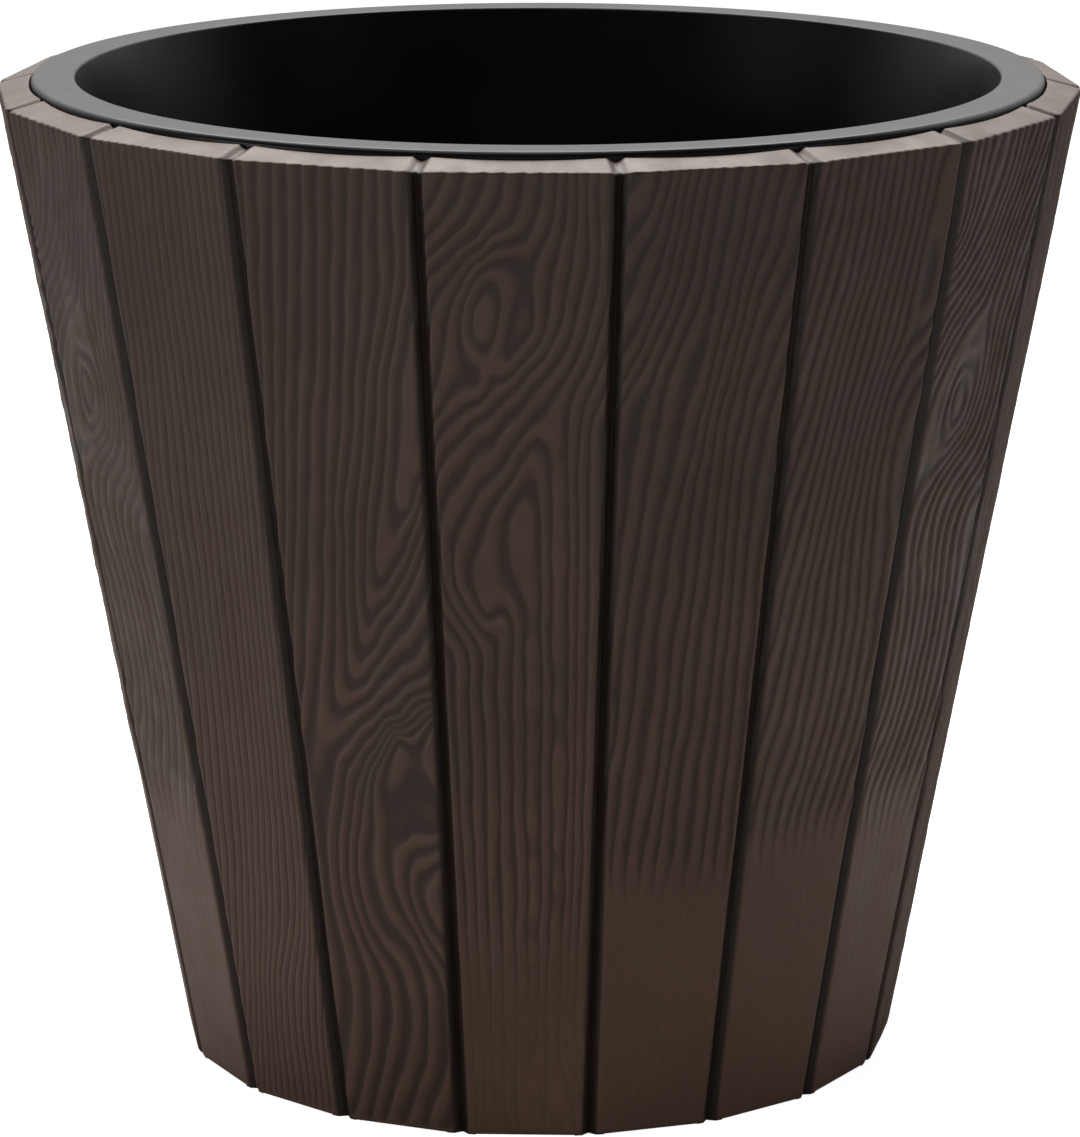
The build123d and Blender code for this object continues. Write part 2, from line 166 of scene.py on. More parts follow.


# Wood grain of the six plank patterns. Each guide follows one grain line, read off the photo: the
# line's number, then its points (across, up) on the plank's face. The lines between follow from a smooth
# field through all the guides of a pattern.
GUIDES = {
    0: [
        (1, [(-24, 357), (-27, 350), (-31, 345)]),
        (2, [(-16.5, 357), (-19, 350), (-25, 343), (-31, 337)]),
        (3, [(-9.5, 357), (-12, 349), (-19, 341), (-29, 332)]),
        (4, [(-3, 357), (-5, 349), (-13, 339), (-22, 331), (-29, 323)]),
        (5, [(4, 357), (3, 348), (-3, 341), (-12, 334), (-20, 326), (-27, 314)]),
        (6, [(10, 357), (8, 346), (3, 337), (-8, 333.5), (-16, 327), (-20.5, 318), (-23.5, 304),
             (-24, 292), (-28, 280)]),
        (7, [(14, 357), (13, 345), (9, 334), (6.5, 322), (6.5, 311), (3, 302), (-4, 294), (-12, 287),
             (-20, 283), (-29, 272)]),
        (8, [(17.5, 357), (17, 340), (14, 325), (12, 312), (8, 301), (1, 292), (-8, 284), (-17, 276),
             (-28, 262)]),
        (9, [(21.5, 357), (21, 335), (17, 315), (12, 301), (5, 290), (-3, 281), (-13, 271), (-22, 260),
             (-27, 252)]),
        (10, [(25, 357), (25, 330), (21, 310), (15, 294), (8, 283), (0, 273), (-9, 261), (-18, 249),
             (-25, 238)]),
        (11, [(29, 345), (28, 320), (23, 300), (17, 288), (12, 277), (5, 269), (-3, 258), (-12, 246),
             (-18, 232), (-21, 215)]),
        (11, [(12.5, 268), (12.5, 250), (12.3, 225), (12.5, 190), (12.5, 150), (11, 100), (9.5, 50),
             (9, 5)]),
        (12, [(5, 261), (-2, 250), (-8, 238), (-11, 222), (-11.5, 205)]),
        (12, [(8, 250), (9, 225), (8.5, 190), (8.5, 150), (7.5, 100), (6, 50), (6, 5)]),
        (13, [(2, 240), (3, 215)]),
        (13, [(21, 250), (20.5, 190), (20, 150), (18, 90), (16, 40)]),
        (14, [(26, 270), (25.5, 230), (24.5, 190), (23.5, 150), (21.5, 90), (19.5, 40)]),
        (8, [(-22, 190), (-20.5, 140), (-19, 90), (-17, 40), (-16, 5)]),
        (9, [(-17, 190), (-16, 140), (-15, 90), (-13.5, 40), (-13, 5)]),
        (10, [(-12, 190), (-11, 140), (-10.5, 90), (-9.5, 40), (-9, 5)]),
        (11, [(-6.5, 200), (-6, 140), (-5.5, 90), (-5, 40), (-5, 5)]),
        (12, [(-1, 195), (-1, 140), (-0.5, 90), (-0.5, 40), (-1, 5)]),
        (13, [(4, 190), (3.5, 140), (3.5, 90), (3, 40)]),
        (6.4, [(-21.5, 300), (-19, 317), (-12, 329), (-1, 333), (2.5, 330), (3.5, 318), (3, 306),
             (-4, 297), (-14, 289.5), (-20, 290)]),
        (8.2, [(-12, 306), (-12, 310)]),
    ],
    1: [
        (1, [(-26, 357), (-31, 347)]),
        (2, [(-20, 352), (-25, 340), (-31, 330)]),
        (3, [(-18, 347), (-21, 337), (-25, 325), (-29, 310)]),
        (4, [(-14, 342), (-18, 324), (-22, 311), (-26, 301), (-31, 291)]),
        (5, [(-10.5, 350), (-13, 330), (-17, 314), (-21, 302), (-26, 291), (-30, 284)]),
        (6, [(-5.5, 357), (-8, 335), (-11, 320), (-15, 307), (-20, 294), (-25, 284), (-29, 277)]),
        (7, [(-1, 357), (-3, 340), (-5, 325), (-8, 312), (-12, 300), (-17, 286), (-20, 270),
             (-21.5, 250), (-24, 220)]),
        (8, [(4, 357), (1, 335), (-1, 320), (-4, 308), (-8, 297), (-11, 283), (-14, 268), (-16, 250),
             (-18, 230), (-20, 205), (-21, 180), (-22, 150)]),
        (9, [(9.6, 357), (8, 340), (5, 325), (3, 312), (1, 297), (-1, 285), (-4, 270), (-8, 250),
             (-11, 235), (-13, 215), (-15, 190), (-16, 165), (-18, 140), (-20, 110)]),
        (10, [(15, 357), (12, 340), (9, 323), (7, 308), (4, 293), (2, 280), (0, 265), (-3, 250),
             (-5, 235), (-6, 215), (-8, 195), (-9, 170), (-11, 140), (-14, 105)]),
        (11, [(20, 357), (17, 340), (14, 325), (11, 308), (8, 295), (5, 280), (3, 265), (1, 250),
             (0, 230), (-1, 210), (-3, 185), (-4, 160), (-6, 130), (-9, 100)]),
        (12, [(26, 357), (22, 340), (18, 325), (15, 312), (12, 298), (10, 285), (7.5, 270), (6, 255),
             (5, 240), (4, 220), (2, 195), (1, 170), (-1, 145), (-3, 115), (-5, 90)]),
        (13, [(29, 345), (26, 330), (20, 312), (16, 295), (13, 280), (11, 265), (10, 245), (9, 220),
             (8, 195), (7, 170), (5, 140), (3, 110)]),
        (14, [(28, 315), (22, 298), (18, 283), (15.5, 268), (14, 250), (13.5, 225), (13, 200),
             (12, 175), (10, 140), (9, 110)]),
        (15, [(27, 295), (23, 280), (20, 265), (18.5, 250), (18, 225), (17.5, 200), (17, 170),
             (15.5, 140), (14, 105)]),
        (16, [(27, 270), (24.5, 255), (23.5, 240), (22.5, 220), (22, 190), (21, 150), (19, 110)]),
        (8, [(-23, 90), (-20, 5)]),
        (12, [(-4, 60), (-2, 5)]),
        (16, [(17, 60), (15, 5)]),
    ],
    2: [
        (1, [(-31.5, 350), (-34, 330)]),
        (2, [(-26, 357), (-28, 340), (-31, 320), (-34, 295)]),
        (3, [(-21.5, 357), (-23, 340), (-27, 320), (-30, 300), (-33, 280)]),
        (4, [(-17, 357), (-18, 340), (-20.5, 325), (-24, 305), (-27, 290), (-30, 272)]),
        (5, [(-12.5, 357), (-14, 335), (-17, 315), (-20, 298), (-23, 282), (-26.5, 265), (-29, 248)]),
        (6, [(-8, 357), (-9, 335), (-11.5, 315), (-15, 297), (-18, 280), (-21, 265), (-24, 250),
             (-27, 235)]),
        (7, [(-4, 357), (-5, 335), (-7.5, 315), (-11, 297), (-14, 278), (-16, 262), (-19, 248),
             (-22, 232), (-25, 212)]),
        (8, [(0, 357), (-1, 335), (-3.5, 318), (-7, 300), (-10, 280), (-12, 265), (-14, 250),
             (-16, 235), (-19, 215), (-22, 195), (-25, 172)]),
        (9, [(4, 357), (3, 335), (1, 320), (-2.5, 303), (-5.5, 285), (-8, 268), (-10, 252), (-12, 235),
             (-14, 215), (-16, 197), (-18, 180), (-20, 163), (-23, 146), (-26, 128)]),
        (10, [(8, 357), (7, 335), (5, 320), (2.5, 303), (-0.5, 285), (-4, 268), (-6, 250), (-8, 230),
             (-10, 210), (-11, 192), (-12, 175), (-14, 158), (-17, 143), (-21, 126)]),
        (11, [(12, 357), (11, 338), (9, 320), (7, 303), (4, 287), (0, 270), (-2, 250), (-4, 230),
             (-5.5, 212), (-6, 195), (-6, 178), (-7.5, 160), (-10, 142), (-14, 125)]),
        (12, [(16, 357), (15, 338), (13, 318), (11, 303), (8, 288), (4.5, 274), (2, 259), (0.5, 244),
             (-0.5, 225), (-1, 205), (-0.5, 190), (-1, 170), (-3, 150), (-6, 132), (-9, 120)]),
        (13, [(20.5, 357), (19, 340), (17, 320), (15.5, 305), (12.5, 291), (8.5, 277), (6, 262),
             (4.5, 245), (3.5, 225), (4, 205), (4.5, 190), (4, 170), (2.5, 150), (-1, 130), (-4, 118)]),
        (14, [(25, 350), (22, 335), (20.5, 318), (20, 303), (18.5, 295), (13.5, 284), (10, 268),
             (8.5, 252), (7.5, 232), (8.5, 212), (9.5, 195), (9.5, 175), (8, 155), (5, 138), (1, 122)]),
        (14.6, [(25, 322), (25, 308)]),
        (14, [(29, 340), (29, 325), (28, 308), (25, 301)]),
        (15, [(28, 296), (22, 290), (17, 280), (14, 267), (12.5, 252), (12, 235), (13, 215),
             (14.5, 195), (14.5, 175), (13, 157), (10, 140), (6, 124)]),
        (16, [(27, 284), (22, 275), (18, 263), (16.5, 250), (17, 236), (18, 215), (19.5, 195),
             (19.5, 175), (18, 157), (15, 140), (11, 122)]),
        (17, [(27, 270), (24, 258), (22.5, 245), (22, 236)]),
        (16.6, [(23, 222), (23, 208)]),
        (17, [(25, 190), (24.5, 172), (23, 155), (20, 138), (16, 120)]),
        (18, [(27, 160), (25, 142), (21, 122), (18, 110)]),
        (9, [(-24, 90), (-21, 5)]),
        (13, [(-3, 80), (-2, 5)]),
        (17, [(17, 80), (16, 5)]),
    ],
    3: [
        (0, [(-30, 357), (-31, 330)]),
        (1, [(-25, 357), (-26, 335)]),
        (2, [(-19.5, 357), (-21, 338)]),
        (3, [(-13.5, 357), (-16, 342)]),
        (4, [(-6, 357), (-9, 345), (-14, 334)]),
        (5, [(1, 358), (-1.5, 345), (-8, 329), (-20, 316), (-31, 309)]),
        (6, [(6, 358), (4, 345), (-1.5, 333), (-7, 323), (-15, 314), (-23, 307), (-31, 299)]),
        (7, [(10.5, 358), (8, 345), (3, 334), (-2.5, 322), (-10.5, 312), (-19, 304), (-30, 292)]),
        (8, [(15, 357), (11.5, 345), (6.5, 334), (1, 322), (-7, 311), (-16, 302), (-28.5, 289)]),
        (9, [(19.5, 354), (14.5, 341), (9.5, 329), (3.5, 316), (-5, 305), (-15, 296), (-27, 283)]),
        (10, [(23, 355), (17.5, 341), (12.5, 328), (6.5, 314), (-1, 303), (-12, 294), (-19, 287),
             (-28, 275)]),
        (11, [(27, 353), (21.5, 339), (16, 326), (11, 313), (4.5, 301), (-5, 292), (-14, 285),
             (-22, 273), (-25, 258), (-28, 243)]),
        (12, [(31, 352), (25.5, 338), (19.5, 324), (15, 311), (10.5, 299), (9.5, 291), (10.8, 278),
             (9.8, 264), (5.8, 254), (-1, 247), (-11, 241), (-19.8, 237), (-24, 230), (-26, 221)]),
        (13, [(33, 347), (28, 334), (23, 319), (18.5, 305), (15.5, 292), (14.8, 277), (13.8, 264),
             (10, 253), (2.8, 245), (-6, 239), (-14, 232), (-18, 224), (-19, 214)]),
        (14, [(33, 336), (27.5, 320), (22.5, 305), (19, 290), (18, 276), (17.3, 263), (14, 252),
             (8, 245), (0, 239), (-7, 233), (-11.5, 226), (-13, 216)]),
        (15, [(32, 316), (26, 299), (23, 286), (22, 273), (21.5, 261), (18, 249), (12, 241), (4, 235),
             (-2, 229), (-5.5, 221)]),
        (16, [(31, 302), (27, 287), (26.5, 266), (23.5, 248), (17.5, 238), (9, 231), (3, 224),
             (0.5, 214)]),
        (17, [(30, 265), (28, 247), (22.5, 236), (14, 229), (8, 221), (6, 212)]),
        (18, [(28, 235), (20, 226), (14, 217)]),
        (11.3, [(-20.5, 268), (-14, 280), (-4, 286), (6, 286.5), (8, 268), (3, 253), (-8, 245.5),
             (-18, 242)]),
        (9.0, [(-7, 268), (-7, 261)]),
        (12, [(-24, 208), (-21, 195), (-19, 180), (-19, 165), (-21, 150), (-26, 136)]),
        (13, [(-17.5, 205), (-14.5, 192), (-13, 178), (-13, 163), (-15, 149), (-21, 135), (-26, 124)]),
        (14, [(-11.5, 206), (-8.5, 193), (-7, 179), (-7, 164), (-9, 149), (-14, 136), (-21, 122)]),
        (15, [(-4, 206), (-2, 193), (-1, 179), (-1.5, 164), (-3.5, 149), (-8, 135), (-15, 121)]),
        (16, [(1.5, 203), (4, 190), (5, 176), (4.5, 161), (2.5, 147), (-2, 134), (-8, 121)]),
        (17, [(7, 203), (9.5, 190), (10.5, 175), (10, 160), (8, 146), (4, 133), (-2, 120)]),
        (18, [(13.5, 203), (15.5, 188), (16.5, 172), (16, 158), (14, 144), (10, 131)]),
        (19, [(22, 220), (20.5, 203), (22, 185), (22.5, 165), (21, 148), (17, 133)]),
        (13, [(-23, 90), (-20, 10)]),
        (16, [(-8, 90), (-6, 10)]),
        (20, [(12, 90), (12, 10)]),
    ],
    4: [
        (2, [(-27.5, 357), (-29, 320), (-30, 285)]),
        (4, [(-20, 357), (-22, 320), (-23, 290), (-25, 258), (-26, 235)]),
        (6, [(-12.5, 357), (-14, 320), (-15, 290), (-17, 262), (-19.5, 240), (-20, 215)]),
        (8, [(-5, 357), (-7, 320), (-8, 290), (-9, 260), (-10.5, 230), (-11.5, 200), (-13, 170),
             (-15.5, 140), (-18, 110), (-21, 80)]),
        (10, [(3, 357), (1, 320), (0.5, 290), (-1, 260), (-2.5, 230), (-4, 200), (-5.5, 170),
             (-7.5, 140), (-10, 110), (-14, 80), (-18, 55)]),
        (12, [(10.5, 357), (8.5, 320), (8, 290), (6.5, 260), (5, 230), (3.5, 200), (2, 170), (0, 140),
             (-2.5, 115), (-6, 90), (-9.5, 70), (-14, 45), (-18, 20)]),
        (14, [(18, 357), (16.5, 320), (15.5, 290), (14, 260), (12, 230), (10.5, 200), (8.5, 170),
             (6.5, 140), (4, 115), (0.5, 92), (-3, 72), (-8, 48), (-12, 22)]),
        (16, [(26, 357), (24, 320), (22.5, 290), (20.5, 260), (18.5, 230), (16.5, 200), (14.5, 170),
             (12.5, 140), (10, 115), (7, 92), (3, 71), (-3, 50), (-6, 28), (-8, 6)]),
        (18, [(32, 345), (30, 310), (28, 270), (25.5, 235), (22.5, 200), (20.5, 170), (18.5, 140),
             (16.5, 112), (13.5, 86), (9.5, 69), (3, 52), (0, 32), (-1, 6)]),
        (20, [(27, 190), (25.5, 160), (23.5, 120), (20.5, 90), (16, 70), (10.5, 53), (7, 33), (6, 6)]),
        (22, [(24, 90), (21, 68), (17, 50), (14, 30), (13, 6)]),
    ],
    5: [
        (0, [(-27, 357), (-29, 320), (-31, 280)]),
        (2, [(-16, 357), (-19, 325), (-21.5, 295), (-24.5, 260), (-27, 225)]),
        (4, [(-5, 357), (-8, 325), (-11, 295), (-15.5, 265), (-18.5, 236), (-22, 205), (-25, 175)]),
        (6, [(6.5, 357), (3, 323), (0, 298), (-3.5, 269), (-7.5, 235), (-10.5, 205), (-13, 185),
             (-15, 168), (-14, 155), (-8, 157), (0, 164), (10, 173), (18, 181), (27, 191)]),
        (7, [(12, 356), (8.5, 323), (4.8, 296), (0.8, 266), (-3.8, 237), (-6.2, 208), (-7.5, 188),
             (-8, 168), (-2, 170), (6, 178), (14, 187), (20, 194), (27, 205)]),
        (8, [(17.5, 355), (14, 323), (9.6, 294), (5, 264), (0.3, 239), (-1.8, 215), (-3, 195),
             (-2, 178), (6, 186), (14, 197), (21, 210), (28, 224)]),
        (9, [(22.7, 355), (20.5, 322), (14, 294), (9, 264), (4, 234), (1.8, 212), (1.5, 192), (9, 200),
             (16, 209), (22, 219), (28, 232)]),
        (10, [(27.8, 355), (26, 322), (18, 294), (12.8, 262), (7.5, 232), (5.8, 216), (5.5, 204),
             (13, 211), (20, 222), (28, 241)]),
        (11, [(31, 330), (22, 293), (17.5, 262), (12.5, 233), (11, 218), (18, 228), (28, 249)]),
        (12, [(31, 300), (25, 275), (22.5, 255), (23, 243), (28, 258)]),
        (5, [(0.8, 357), (-2.5, 324), (-5.5, 297), (-9.5, 267), (-13, 235), (-16, 205), (-19, 185),
             (-22, 167), (-27, 150)]),
        (5, [(27, 181), (16, 172), (6, 163), (-2, 155), (-8, 147), (-13, 135), (-16, 120), (-17.5, 105),
             (-17.5, 90), (-16, 79), (-14, 64), (-13.4, 48), (-16, 28), (-20, 12)]),
        (4, [(26, 172), (14, 163), (4, 155), (-3, 147), (-8, 138), (-10.5, 128), (-13, 115), (-14, 100),
             (-13, 86), (-9, 71), (-5.3, 59), (-5.3, 44), (-8, 28), (-13, 10)]),
        (3, [(12, 158), (3, 149), (-2, 141), (-5.5, 130), (-8.5, 117), (-10.3, 104), (-9, 86), (-3, 69),
             (1.6, 58), (2.8, 46), (1, 34), (-4, 21), (-9, 5)]),
        (2, [(4, 147), (-0.3, 139), (-2.8, 125), (-6.5, 112), (-7, 99), (-4.5, 85), (1, 74), (8.5, 58),
             (9.8, 46), (7.3, 28), (1, 14), (-3, 4)]),
        (1, [(2.8, 139), (2.5, 125), (0.8, 112), (0.8, 99), (3.5, 88), (11, 76), (16, 63), (16.6, 48),
             (15, 28), (9.8, 16), (5, 4)]),
        (0, [(11, 112), (7.5, 104), (7.3, 96), (11, 85), (17, 72), (22, 62), (23, 45), (22, 28),
             (16, 10)]),
        (-1, [(18, 107), (13, 98), (14, 89), (17.3, 79), (24, 68)]),
        (-2, [(24, 103), (19, 96), (20, 88), (25, 80)]),
        (0.6, [(26, 163), (12, 156), (6, 144), (9, 128), (8, 120), (11, 117), (24, 123)]),
        (0.4, [(20, 140), (14, 140)]),
    ],
}

FIELD_SCALE = 20.0        # mm that count as one step where the guides are joined
ALONG_SHARE = 0.45        # lengths up the plank count for this share
GUIDE_STEP = 20.0         # longest gap in mm between the points taken along a guide
FIELD_EASE = 0.01         # how far the field may pass beside a guide
# One value for each pattern: breadth of the crests (less is broader), their unevenness, pits in the valleys
CREST_POWER = [0.8, 0.9, 0.9, 0.9, 0.9, 1.2]
ROUGHNESS = [0.8, 0.9, 0.9, 0.7, 0.5, 0.4]
PITTING = [0.7, 1.0, 0.7, 0.8, 0.4, 0.3]
# Heights and shares between which each pattern's relief fades out downwards
FADES = [
    ([50, 100], [0.4, 1.0]),
    ([88, 112], [0.08, 1.0]),
    ([100, 120], [0.08, 1.0]),
    ([60, 98, 122], [0.06, 0.15, 1.0]),
    ([0, 30], [0.9, 1.0]),
    ([0, 30], [0.9, 1.0]),
]
SMOOTH_RELIEF = 0.2       # height over the CAD surface where no grain line runs
LEAST_RELIEF = 0.03
LINE_HEIGHT = 0.6
LINE_LEAN = 1.1           # sideways lean of a line's crest, which steepens its left flank
LEAN_LIMIT = 0.28
PIT_DEPTH = 0.14
WOBBLE = 0.12             # share of the spacing by which a line wavers
# Seeds of the noises, to which a pattern's number is added
WOBBLE_SEED = 11
BEAD_SEED = 21
PIT_SEED = 31
WAVE_SEED = 41
SWELL_SEED = 51


def field_point(s, z):
    return np.stack([s / FIELD_SCALE, z * ALONG_SHARE / FIELD_SCALE], -1)


def plate_kernel(a, b):
    """Thin-plate kernel between two lists of points."""
    d2 = ((a[:, None, :] - b[None, :, :]) ** 2).sum(-1)
    return 0.5 * d2 * np.log(d2 + 1e-9)


def line_field(guides):
    """Points and weights of the smooth field in which the guides lie at their numbers."""
    ends, number = [], []
    for n, line in guides:
        for (s0, z0), (s1, z1) in zip(line, line[1:]):
            count = math.ceil(math.hypot(s1 - s0, z1 - z0) / GUIDE_STEP)
            ends += [(s0 + (s1 - s0) * i / count, z0 + (z1 - z0) * i / count) for i in range(count)]
        ends.append(line[-1])
        number += [n] * (len(ends) - len(number))
    at = field_point(*np.array(ends, float).T)
    number = np.array(number, float)
    flat = np.column_stack([np.ones(len(at)), at])
    kernel = plate_kernel(at, at) + FIELD_EASE * np.eye(len(at))
    system = np.block([[kernel, flat], [flat.T, np.zeros((3, 3))]])
    return at, np.linalg.solve(system, np.concatenate([number, np.zeros(3)]))


FIELDS = [line_field(GUIDES[pattern]) for pattern in range(PATTERN_COUNT)]


def line_number(pattern, s, z):
    at, weights = FIELDS[pattern]
    here = field_point(s, z)
    number = plate_kernel(here, at) @ weights[:-3] + weights[-3] + here @ weights[-2:]
    return number + WOBBLE * noise(s / 5, z / 16, pattern + WOBBLE_SEED)


def grain(pattern, s, z):
    """Line number, relief in mm and valley share of a plank's grain at s across and z up, both arrays."""
    z = np.broadcast_to(z, s.shape)
    number = line_number(pattern, s, z)
    slope = np.gradient(number, s)
    rise = line_number(pattern, s, z + 1) - number
    crest = 0.5 + 0.5 * np.cos(2 * math.pi * number)
    lean = np.clip(LINE_LEAN * slope, -LEAN_LIMIT, LEAN_LIMIT) * (crest - 0.5)
    crest = 0.5 + 0.5 * np.cos(2 * math.pi * (number + lean))
    spacing = 1 / (np.hypot(slope, rise) + 0.02)
    bead = 1 + 0.3 * ROUGHNESS[pattern] * noise(number * 1.5 + 9, z / 2.6, pattern + BEAD_SEED)
    swell = 1 + 0.25 * noise(number / 1.3 + 5, z / 34, pattern + SWELL_SEED)
    line = LINE_HEIGHT * np.clip(spacing / 4, 0.3, 1.15) * crest ** CREST_POWER[pattern] * bead * swell
    pit = PITTING[pattern] * smooth(0.45, 0.8, noise(s / 1.5, z / 3.4, pattern + PIT_SEED)) * (1 - crest)
    fade = np.interp(z, *FADES[pattern])
    wave = 0.05 * noise(s / 8, z / 30, pattern + WAVE_SEED)
    relief = np.maximum(SMOOTH_RELIEF + wave + fade * (line - PIT_DEPTH * pit), LEAST_RELIEF)
    # The valley share darkens the colour: partly the grain's tone, partly painted shade in valleys and pits
    valley = fade * np.clip(1 - crest ** CREST_POWER[pattern] + 0.5 * pit, 0, 1)
    return number, relief, valley


def mesh_from(name, points, faces, smooth_faces=True):
    mesh = bpy.data.meshes.new(name)
    mesh.from_pydata([tuple(p) for p in points], [], faces)
    mesh.validate()
    if smooth_faces:
        mesh.polygons.foreach_set("use_smooth", [True] * len(mesh.polygons))
    mesh.update()
    made = bpy.data.objects.new(name, mesh)
    bpy.context.scene.collection.objects.link(made)
    return made


def edge_columns():
    """Distances from the joint's middle plane of the mesh lines beside a joint."""
    return [-0.05, 0.2, 0.5, 0.9, 1.3, 1.7, 2.1, 2.45, 2.75, 3.05, 3.35, 3.65, 4.05, EDGE_MARGIN]


def face_columns():
    """Every mesh column's share of the way across a plank, and its distance from the nearer joint."""
    edge = edge_columns()
    inner = np.arange(1, MIDDLE_COLUMNS) / MIDDLE_COLUMNS
    share = np.concatenate([np.zeros(len(edge)), inner, np.ones(len(edge))])
    gap = np.concatenate([edge, np.full(len(inner), EDGE_MARGIN), edge[::-1]])
    return share, gap


def bend(start, corner, end, t):
    """The point at t, from 0 to 1, of the curve that rounds a corner."""
    return start * (1 - t) ** 2 + corner * 2 * t * (1 - t) + end * t * t


def flank_depth(gap):
    """How deep the face lies at this distance from the joint's middle plane, its edge well rounded."""
    tip = JOINT_DEPTH * COS_HALF
    mouth = JOINT_WIDTH / 2
    start = np.array([mouth - JOINT_ROUND_IN, tip * JOINT_ROUND_IN / mouth])
    corner = np.array([mouth, 0.0])
    end = np.array([mouth + JOINT_ROUND_OUT, 0.0])
    arc = np.array([bend(start, corner, end, t) for t in np.linspace(0, 1, 25)])
    gaps = np.concatenate([[-0.1], arc[:, 0]])
    depths = np.concatenate([[tip * (1 + 0.1 / mouth)], arc[:, 1]])
    return np.interp(gap, gaps, depths)


def notch_depth(gap):
    swing = np.clip(gap / NOTCH_REACH, 0, 1)
    return NOTCH_DEPTH * 0.5 * (1 + np.cos(math.pi * swing))


def across(n, share, gap):
    """Sideways place of a mesh column at distance n from the axis."""
    return (2 * share - 1) * (n * SIN_HALF - gap) / COS_HALF


def face_line(pattern, z, share, gap):
    """Distance from the axis, line number and valley share of a plank's face at the heights z."""
    ground = BASE_FACE + FLARE * z - flank_depth(gap)
    number, relief, valley = grain(pattern, across(ground, share, gap), z)
    lift = -TIP_DIVE + (SKIN_LIFT + TIP_DIVE) * smooth(0.1, 1.2, gap)
    keep = smooth(0.3, 3.4, gap) * smooth(0.0, 3.0, z)
    foot = FOOT_ROUND * np.clip(1 - z / FOOT_RISE, 0, 1) ** 2
    return ground + lift + (relief - SKIN_LIFT) * keep - foot, number, valley * keep


class Rows:
    """Rows of mesh points of a plank's face, gathered from its foot up and over the rim."""

    def __init__(self):
        self.rows = []

    def add(self, n, z, number, valley, over=0.0):
        """One row: distances from the axis, heights, line numbers, valley shares, turn over the rim."""
        self.rows.append((n, z, number, valley, over))

    def stacked(self):
        return [np.array(part) for part in zip(*self.rows)]


def rim_plane(gap):
    """Height at which the rim's sloping top, with its notches, would meet the axis."""
    return PLANK_HEIGHT + RIM_FACE * RIM_RISE + SKIN_LIFT * math.hypot(1, RIM_RISE) - notch_depth(gap)


def rim_edge(pattern, share, gap, plane):
    """Points (n, z) at which the face, run on upwards, meets the rim's top."""
    z = np.full(len(share), PLANK_HEIGHT - 0.5)
    n, _, _ = face_line(pattern, z, share, gap)
    edge = (n - FLARE * z + FLARE * plane) / (1 + FLARE * RIM_RISE)
    return np.stack([edge, plane - RIM_RISE * edge], 1)


def bore_line(share, gap):
    """Distance from the axis at which each column meets the round bore."""
    bore = BORE - BORE_LIFT
    n = np.full(len(share), bore * COS_HALF)
    for _ in range(6):
        n = np.sqrt(bore ** 2 - across(n, share, gap) ** 2)
    return n


def add_rim(rows, plane, edge, bore):
    """Carries the rows on: round the rim's outer edge, over its top, and down into the bore."""
    n, z, number, valley, _ = rows.rows[-1]
    plain = valley * 0
    first = np.stack([n, z], 1)
    last = edge + RIM_BEND * np.array([-1.0, RIM_RISE]) / math.hypot(RIM_RISE, 1)
    for t in (0.2, 0.4, 0.6, 0.8, 1.0):
        p = bend(first, edge, last, t)
        rows.add(p[:, 0], p[:, 1], number, valley * (1 - t), t)
    roll_start = bore + BORE_ROLL
    for t in np.linspace(0, 1, 9)[1:]:
        n = last[:, 0] * (1 - t) + roll_start * t
        rows.add(n, plane - RIM_RISE * n, number, plain, 1.0)
    start = np.stack([roll_start, plane - RIM_RISE * roll_start], 1)
    corner = np.stack([bore, plane - RIM_RISE * bore], 1)
    stop = corner - np.array([0, BORE_ROLL])
    for t, over in ((0.25, 1.3), (0.5, 1.6), (0.75, 2.0), (1.0, 2.0)):
        p = bend(start, corner, stop, t)
        rows.add(p[:, 0], p[:, 1], number, plain, over)
    rows.add(bore + 0.5, corner[:, 1] - 2 * BORE_ROLL, number, plain, 2.3)


def plank_face(pattern):
    """One plank's face in rows and columns: n, s, z, line number, valley share, turn, joint shade."""
    share, gap = face_columns()
    rows = Rows()
    for height in FOOT_HEIGHTS:
        z = np.full(len(share), height)
        n, number, valley = face_line(pattern, z, share, gap)
        rows.add(n, z, number, valley)
    plane = rim_plane(gap)
    edge = rim_edge(pattern, share, gap, plane)
    face_top = edge[:, 1] - RIM_BEND / math.hypot(FLARE, 1)
    for i in range(FACE_ROWS):
        z = FACE_START + (face_top - FACE_START) * i / (FACE_ROWS - 1)
        n, number, valley = face_line(pattern, z, share, gap)
        rows.add(n, z, number, valley)
    add_rim(rows, plane, edge, bore_line(share, gap))
    n, z, number, valley, over = rows.stacked()
    # Painted shade along the joints, halved over the rim
    joint_painted_shade = np.tile(1 - smooth(PAINTED_SHADE_START, PAINTED_SHADE_END, gap), (len(n), 1))
    joint_painted_shade[-SOFT_ROWS:] *= 0.5
    return n, across(n, share, gap), z, number, valley, over, joint_painted_shade


def placed(n, s, z, azimuth):
    """World points of a plank's (n, s, z) for the plank at this azimuth, in metres."""
    a = math.radians(azimuth)
    x = n * math.cos(a) - s * math.sin(a)
    y = n * math.sin(a) + s * math.cos(a)
    return np.stack([x, y, z], -1).reshape(-1, 3) * MM


def shell_faces(rows, columns, backs):
    """Faces of a closed thin shell: a fine front grid, a coarse back grid and the strips between them."""
    front = np.arange(rows * columns).reshape(rows, columns)
    back = rows * columns + np.arange(rows * backs).reshape(rows, backs)
    quads = [
        np.stack([front[:-1, :-1], front[:-1, 1:], front[1:, 1:], front[1:, :-1]], -1).reshape(-1, 4),
        np.stack([back[:-1, 1:], back[:-1, :-1], back[1:, :-1], back[1:, 1:]], -1).reshape(-1, 4),
        np.stack([front[1:, 0], back[1:, 0], back[:-1, 0], front[:-1, 0]], -1),
        np.stack([front[:-1, -1], back[:-1, -1], back[1:, -1], front[1:, -1]], -1),
    ]
    faces = np.concatenate(quads).tolist()
    faces.append(back[0].tolist() + front[0, ::-1].tolist())
    faces.append(front[-1].tolist() + back[-1, ::-1].tolist())
    return faces


